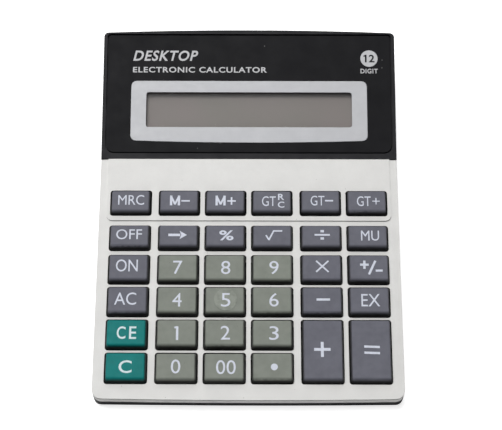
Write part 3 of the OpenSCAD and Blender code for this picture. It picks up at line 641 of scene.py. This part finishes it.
def hollowOut(bm, width, length):
    # an inset and a pocket from below, then the plunger and the two ears
    bottom = min(bm.faces, key=lambda face: face.calc_center_median().z)
    bmesh.ops.inset_region(bm, faces=[bottom], thickness=cap["wall"] * mm, use_even_offset=True)
    bmesh.ops.translate(bm, verts=bottom.verts, vec=(0, 0, cap["hollow"] * mm))
    reach = cap["foot"] - cap["hollow"]
    stem = bmesh.ops.create_cone(bm, cap_ends=True, segments=24, radius1=cap["plunger"] / 2 * mm,
                                 radius2=cap["plunger"] / 2 * mm, depth=(cap["hollow"] + 0.1) * mm)["verts"]
    moveTo(bm, stem, Matrix.Translation((0, 0, (-reach - cap["hollow"] / 2 + 0.05) * mm)))
    earWidth = cap["earReach"] + cap["earFit"] + cap["earSunk"]
    for side in (-1, 1):
        slabAt(bm, side * (width / 2 - cap["earSunk"] + earWidth / 2), 0, earWidth,
               length - 2 * cap["earShort"], 0, cap["earThick"], -cap["foot"])


bumpDisc = dict(x=0.3, y=0.2, diameter=11.3, thick=0.16, sunk=0.2)


def paintedGapShade(tree, coords, painted, look):
    # painted shade low on the walls of a cap: darker towards the deck, by height over the deck
    level = keyPlace("key_5")[0].translation.dot(deckNormal)
    rise = addNode(tree, "ShaderNodeVectorMath", dict(operation="DOT_PRODUCT"))
    tree.links.new(coords, rise.inputs[0])
    rise.inputs[1].default_value = deckNormal
    low, high = (level + cap[side] * mm for side in ("shadeFoot", "shadeTop"))
    lit = spread(tree, rise.outputs["Value"], low, high)
    return mixColours(tree, lit, shade(look["colour"], look["low"]), painted)


def makeKeys():
    random.seed(7)
    slots = {"key_grey": "keyDark", "key_green": "keyGreen", "key_teal": "keyTeal"}
    for node in legends:
        place, width, length = keyPlace(node)
        block = bevelled(capBlock(width, length), cap["frontRoll"], 5)
        bm = bmesh.new()
        bm.from_mesh(block)
        hollowOut(bm, width, length)
        base = cap["rise"]
        if node == "key_5":
            discAt(bm, bumpDisc["x"], bumpDisc["y"], bumpDisc["diameter"],
                   bumpDisc["thick"] + bumpDisc["sunk"], base - bumpDisc["sunk"], 64)
            base += bumpDisc["thick"]
        bm.from_mesh(drawLegend(legends[node], base - 0.005))
        slot = frame["nodes"][node].data.materials[0].name
        offset = Vector((random.uniform(-1, 1), random.uniform(-1, 1), 0)) * cap["play"] * mm
        twist = math.radians(random.uniform(-1, 1) * cap["turn"])
        moveTo(bm, bm.verts, place @ Matrix.Translation(offset) @ Matrix.Rotation(twist, 4, "Z"))
        ink = "legendInkCool" if slot == "key_teal" else "legendInk"
        words = node.split("_")
        name = "keyCap" + "".join(word.capitalize() for word in words[1:])
        addPiece(name, bm, [finish(slots[slot], paintedGapShade), finish(ink)], node, [node])


makeKeys()
print("keys made:", len(legends))


# rubber keypad

keypad = dict(sheetTop=5.3, domeHigh=1.9, domeWide=9.0, domeTop=5.4, wall=0.8, press=1.5, steps=32)


def makeKeypad():
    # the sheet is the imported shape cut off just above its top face
    bm = cadCopy("rubber_keypad")
    place = keyPlace("key_5")[0]
    level = place @ Vector((0, 0, (0.02 - keypad["sheetTop"]) * mm))
    cut = bmesh.ops.bisect_plane(bm, geom=bm.verts[:] + bm.edges[:] + bm.faces[:], dist=0.0005 * mm,
                                 plane_co=level, plane_no=deckNormal, clear_outer=True)["geom_cut"]
    rims = [item for item in cut if isinstance(item, bmesh.types.BMEdge)]
    bmesh.ops.triangle_fill(bm, edges=rims, use_beauty=True, normal=deckNormal)
    addPiece("keypadSheet", bm, [finish("keypadRubber")], "case", ["rubber_keypad"])
    for node in legends:
        makeDome(node)


def makeDome(node):
    # a webbed dome turned round the key's axis
    place = keyPlace(node)[0]
    wide = keypad["domeWide"] / 2
    top = keypad["domeTop"] / 2
    high = keypad["domeHigh"]
    wall = keypad["wall"]
    # the section, from the axis out and down, then back under the web
    outline = [(0, high), (top - 0.4, high), (top - 0.1, high - 0.1), (top, high - 0.35),
               (wide - 0.5, 0.35), (wide - 0.15, 0.1), (wide, 0.02), (wide - wall, 0.02),
               (top - wall, high - 0.75), (0, high - 0.75)]
    bm = bmesh.new()
    corners = [bm.verts.new(Vector((x, 0, z)) * mm) for x, z in outline]
    sides = [bm.edges.new(pair) for pair in zip(corners, corners[1:])]
    bmesh.ops.spin(bm, geom=corners + sides, cent=(0, 0, 0), axis=(0, 0, 1), angle=2 * math.pi,
                   steps=keypad["steps"], use_merge=True)
    bmesh.ops.remove_doubles(bm, verts=bm.verts, dist=0.001 * mm)
    moveTo(bm, bm.verts, place @ Matrix.Translation((0, 0, -keypad["sheetTop"] * mm)))
    words = node.split("_")
    name = "dome" + "".join(word.capitalize() for word in words[1:])
    dome = addPiece(name, bm, [finish("keypadRubber")], "case", ["rubber_keypad"], 40, False)
    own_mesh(dome)


makeKeypad()
print("keypad made")


# face plate

plateEdges = dict(cutOut=0.12, platform=0.16, crease=0.3, platformRise=0.65, reach=0.6, grooveDown=0.42,
                  grooveWide=0.5, grooveDeep=0.35)


def nearKey(point, keyBoxes, reach):
    for toKey, halfWidth, halfLength in keyBoxes:
        spot = toKey @ point / mm
        if abs(spot.x) < halfWidth + reach and abs(spot.y) < halfLength + reach:
            return True
    return False


def cutGroove(bm, keyBoxes):
    # a fine groove round the outside of the plate, just under its top edge
    toDeck = keyBoxes[0][0]
    level = toDeck.inverted()
    half = plateEdges["grooveWide"] / 2
    for drop in (-half, 0, half):
        origin = level @ Vector((0, 0, (drop - plateEdges["grooveDown"]) * mm))
        bmesh.ops.bisect_plane(bm, geom=bm.verts[:] + bm.edges[:] + bm.faces[:], dist=0.0005 * mm,
                               plane_co=origin, plane_no=deckNormal)
    bm.normal_update()
    low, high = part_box("face_plate")
    middle = (low + high) / 2
    moves = []
    for vert in bm.verts:
        height = (toDeck @ vert.co).z / mm + plateEdges["grooveDown"]
        outward = vert.normal - deckNormal * vert.normal.dot(deckNormal)
        if abs(height) >= 0.002 or outward.length <= 0.5 or nearKey(vert.co, keyBoxes, plateEdges["reach"]):
            continue
        outward.normalize()
        if outward.dot(vert.co - middle) > 0:
            moves.append((vert, outward))
    for vert, outward in moves:
        vert.co -= outward * plateEdges["grooveDeep"] * mm
        # the faces round the groove take the black case finish: painted shade in the groove
        for face in vert.link_faces:
            face.material_index = 1
    print("groove corners:", len(moves))


def makePlate():
    bm = cadCopy("face_plate")
    marks = bm.edges.layers.float.new("bevel_weight_edge")
    bm.normal_update()
    keyBoxes = []
    for node in legends:
        place, width, length = keyPlace(node)
        keyBoxes.append((place.inverted(), width / 2 + cap["earFit"], length / 2 + cap["earFit"]))
    groups = {"cutOut": [], "platform": [], "crease": []}
    for edge in openEdges(bm):
        middle = (edge.verts[0].co + edge.verts[1].co) / 2
        kind = "cutOut" if nearKey(middle, keyBoxes, plateEdges["reach"]) else "crease"
        if kind == "crease":
            spot = keyBoxes[0][0] @ middle / mm
            if spot.z > plateEdges["platformRise"] / 2:
                kind = "platform"
        groups[kind].append(edge)
    widest = max(plateEdges["platform"], plateEdges["crease"])
    for kind, edges in groups.items():
        for edge in edges:
            edge[marks] = plateEdges[kind] / widest
    mesh = bevelled(bm, widest, 3)
    bm = bmesh.new()
    bm.from_mesh(mesh)
    cutGroove(bm, keyBoxes)
    bm.normal_update()
    for face in bm.faces:
        steep = abs(face.normal.dot(deckNormal)) < 0.6
        middle = face.calc_center_median()
        height = (keyBoxes[0][0] @ middle).z / mm
        # the walls of the key openings take the black case finish: painted shade in the gaps round the keys
        if steep and nearKey(middle, keyBoxes, plateEdges["reach"]):
            face.material_index = 1
        # the front wall of the platform step takes a dark finish: painted shade
        elif steep and height > 0.05 and face.normal.dot(deckUp) < -0.5:
            face.material_index = 2
    looks = [finish("silverPaint"), finish("casePlastic"), finish("paintedStepShade")]
    addPiece("facePlate", bm, looks, "case", ["face_plate"])
    print("plate edges:", {kind: len(edges) for kind, edges in groups.items()})


makePlate()


# housing

tracks = dict(block=14, pitch=4.5, pick=(0.45, 0.55), lines=(0.7, 0.8))
# places along the cell and across the capacitor, as shares of their length
cellMarks = dict(jacket=(0.7, 0.702), ringStart=(0.69, 0.692), ringEnd=(0.712, 0.71), cap=(0.965, 0.967))
stripeMarks = dict(start=(0.3, 0.32), end=(0.6, 0.58))


def copperTracks(tree, coords, painted, look):
    # tracks seen through the green mask, in blocks that run one way or the other
    blocks = addNode(tree, "ShaderNodeTexVoronoi", dict(distance="CHEBYCHEV"),
                     Scale=1 / (tracks["block"] * mm))
    tree.links.new(coords, blocks.inputs["Vector"])
    scale = 1 / (tracks["pitch"] * mm)
    along = addNode(tree, "ShaderNodeTexWave", dict(bands_direction="X"), Scale=scale)
    across = addNode(tree, "ShaderNodeTexWave", dict(bands_direction="Y"), Scale=scale)
    tree.links.new(coords, along.inputs["Vector"])
    tree.links.new(coords, across.inputs["Vector"])
    pick = addNode(tree, "ShaderNodeSeparateColor")
    tree.links.new(blocks.outputs["Color"], pick.inputs["Color"])
    either = addNode(tree, "ShaderNodeMix")
    tree.links.new(spread(tree, pick.outputs["Red"], *tracks["pick"]), either.inputs[0])
    tree.links.new(along.outputs["Fac"], either.inputs[2])
    tree.links.new(across.outputs["Fac"], either.inputs[3])
    lines = spread(tree, either.outputs[0], *tracks["lines"])
    return mixColours(tree, lines, painted, look["track"])


def alongAxis(tree, coords, axis, start, end):
    # 0 at start and 1 at end, along one axis of the object
    parts = addNode(tree, "ShaderNodeSeparateXYZ")
    tree.links.new(coords, parts.inputs["Vector"])
    return spread(tree, parts.outputs[axis], start, end)


def cellBands(tree, coords, painted, look):
    # a copper-coloured band at the plus end, then a thin pale ring and the dark jacket
    low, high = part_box("battery_cell")
    place = alongAxis(tree, coords, "X", low.x, high.x)
    dark = mixColours(tree, spread(tree, place, *cellMarks["jacket"]), look["jacket"], painted)
    ring = times(tree, spread(tree, place, *cellMarks["ringStart"]),
                 spread(tree, place, *cellMarks["ringEnd"]))
    ringed = mixColours(tree, ring, dark, look["ring"])
    return mixColours(tree, spread(tree, place, *cellMarks["cap"]), ringed, look["cap"])


def paleStripe(tree, coords, painted, look):
    low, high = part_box("capacitor")
    across = alongAxis(tree, coords, "Y", low.y, high.y)
    stripe = times(tree, spread(tree, across, *stripeMarks["start"]),
                   spread(tree, across, *stripeMarks["end"]))
    return mixColours(tree, stripe, painted, look["stripe"])


refine("top_case", "casePlastic", "case", 0.35, 3)
refine("bottom_case", "casePlastic", "case", 0.3, 2)
refine("battery_door", "casePlastic", "battery_door", 0.2, 2)
refine("display_panel", "panelPlastic", "case", 0.15, 2)
refine("display_frame", "frameSilver", "case", 0.1, 2)
refine("lcd_holder", "holderPlastic", "case", 0.1, 1)
refine("rubber_feet", "footRubber", "case", 0.25, 2)
refine("case_screws", "screwSteel", "case", 0.08, 2)
refine("board_screws", "screwSteel", "case", 0.08, 2)
refine("holder_screws", "screwSteel", "case", 0.08, 2)
refine("circuit_board", "boardGreen", "case", pattern=copperTracks)
refine("battery_cell", "cellJacket", "case", 0.3, 2, pattern=cellBands)
refine("capacitor", "capacitorBlue", "case", 0.3, 2, pattern=paleStripe)
refine("battery_contact", "contactSteel", "case", 0.05, 1)
refine("battery_spring", "contactSteel", "case")
refine("crystal", "contactSteel", "case", 0.15, 2)
refine("chip_cap", "epoxy", "case")
refine("lcd_ribbon", "ribbonFilm", "case")
refine("red_wire", "wireRed", "case")
refine("black_wire", "wireBlack", "case")
print("housing made")


# printing on the panel

ink = dict(thick=0.035, sunk=0.01)
panelMargin = 59                       # from the panel's middle to the words' left ends
# word, width, height, y up from the panel's front edge, thickening and slant
panelWords = [("DESKTOP", 33, 5.6, 51, 0.022, 0.25), ("ELECTRONIC CALCULATOR", 68, 3, 43.5, 0.022, 0)]
badge = dict(x=61, y=49.7, diameter=8.8, caption="DIGIT", captionWide=8.8, captionHigh=2.5, captionY=43,
             stem=0.85, stemLeft=1.65, height=4.1, twoRight=1.35, twoWidth=2.9, thicken=0.02, gap=1.12,
             flagLeft=2.3, flagUp=0.34, flagWide=1.1, flagHigh=0.65, flagAngle=0.45, flagOver=0.004)


def makePrint():
    bm = bmesh.new()
    for word, width, height, y, thicken, slant in panelWords:
        wordAt(bm, word, width / 2 - panelMargin, y, width, height, thicken, ink["thick"], -ink["sunk"],
               slant, badge["gap"])
    wordAt(bm, badge["caption"], badge["x"], badge["captionY"], badge["captionWide"], badge["captionHigh"],
           badge["thicken"], ink["thick"], -ink["sunk"], 0, badge["gap"])
    discAt(bm, badge["x"], badge["y"], badge["diameter"], ink["thick"], -ink["sunk"], 64)
    moveTo(bm, bm.verts, panelFrame)
    addPiece("panelPrint", bm, [finish("panelPrint")], "case")
    bm = bmesh.new()
    base = ink["thick"] - 2 * ink["sunk"]
    wordAt(bm, "2", badge["x"] + badge["twoRight"], badge["y"], badge["twoWidth"], badge["height"],
           badge["thicken"], ink["thick"], base)
    # the 1 is a stem with a slanting flag at its top left
    slabAt(bm, badge["x"] - badge["stemLeft"], badge["y"], badge["stem"], badge["height"], 0, ink["thick"],
           base)
    slabAt(bm, badge["x"] - badge["flagLeft"], badge["y"] + badge["height"] * badge["flagUp"],
           badge["flagWide"], badge["flagHigh"], badge["flagAngle"], ink["thick"] + badge["flagOver"], base)
    moveTo(bm, bm.verts, panelFrame)
    addPiece("badgeNumber", bm, [finish("panelPlastic")], "case")


makePrint()
print("printing made")


# display

lcdLook = dict(colour=(0.195, 0.168, 0.158), tint=(0.178, 0.162, 0.145), driftSize=30, drift=(0.35, 0.65),
               polishSize=3, rough=(0.5, 0.58), gloss=0.1, edge=0.1)


def makeLcd():
    material = bpy.data.materials.new("lcdGlass")
    material.use_nodes = True
    tree = material.node_tree
    shader = tree.nodes["Principled BSDF"]
    coords = addNode(tree, "ShaderNodeTexCoord").outputs["Object"]
    drift = spread(tree, noiseOf(tree, coords, lcdLook["driftSize"]), *lcdLook["drift"])
    tree.links.new(mixColours(tree, drift, lcdLook["colour"], lcdLook["tint"]), shader.inputs["Base Color"])
    polish = noiseOf(tree, coords, lcdLook["polishSize"], surface["roughDetail"])
    roughness = spread(tree, polish, *surface["drift"], lcdLook["rough"])
    tree.links.new(roughness, shader.inputs["Roughness"])
    shader.inputs["Specular IOR Level"].default_value = lcdLook["gloss"]
    bm = cadCopy("lcd_glass")
    roundOff(bm, openEdges(bm), lcdLook["edge"], 1)
    addPiece("lcdGlass", bm, [material], "case", ["lcd_glass"])


makeLcd()

windowLook = dict(colour=(0.9, 0.91, 0.92), alpha=0.04, rough=0.08, gloss=0.15, edge=0.08)


def makeWindow():
    material = bpy.data.materials.new("windowClear")
    material.use_nodes = True
    tree = material.node_tree
    shader = tree.nodes["Principled BSDF"]
    shader.inputs["Base Color"].default_value = (*windowLook["colour"], 1)
    shader.inputs["Alpha"].default_value = windowLook["alpha"]
    shader.inputs["Roughness"].default_value = windowLook["rough"]
    shader.inputs["Specular IOR Level"].default_value = windowLook["gloss"]
    bm = cadCopy("display_window")
    roundOff(bm, openEdges(bm), windowLook["edge"], 1)
    addPiece("displayWindow", bm, [material], "case", ["display_window"])


makeWindow()
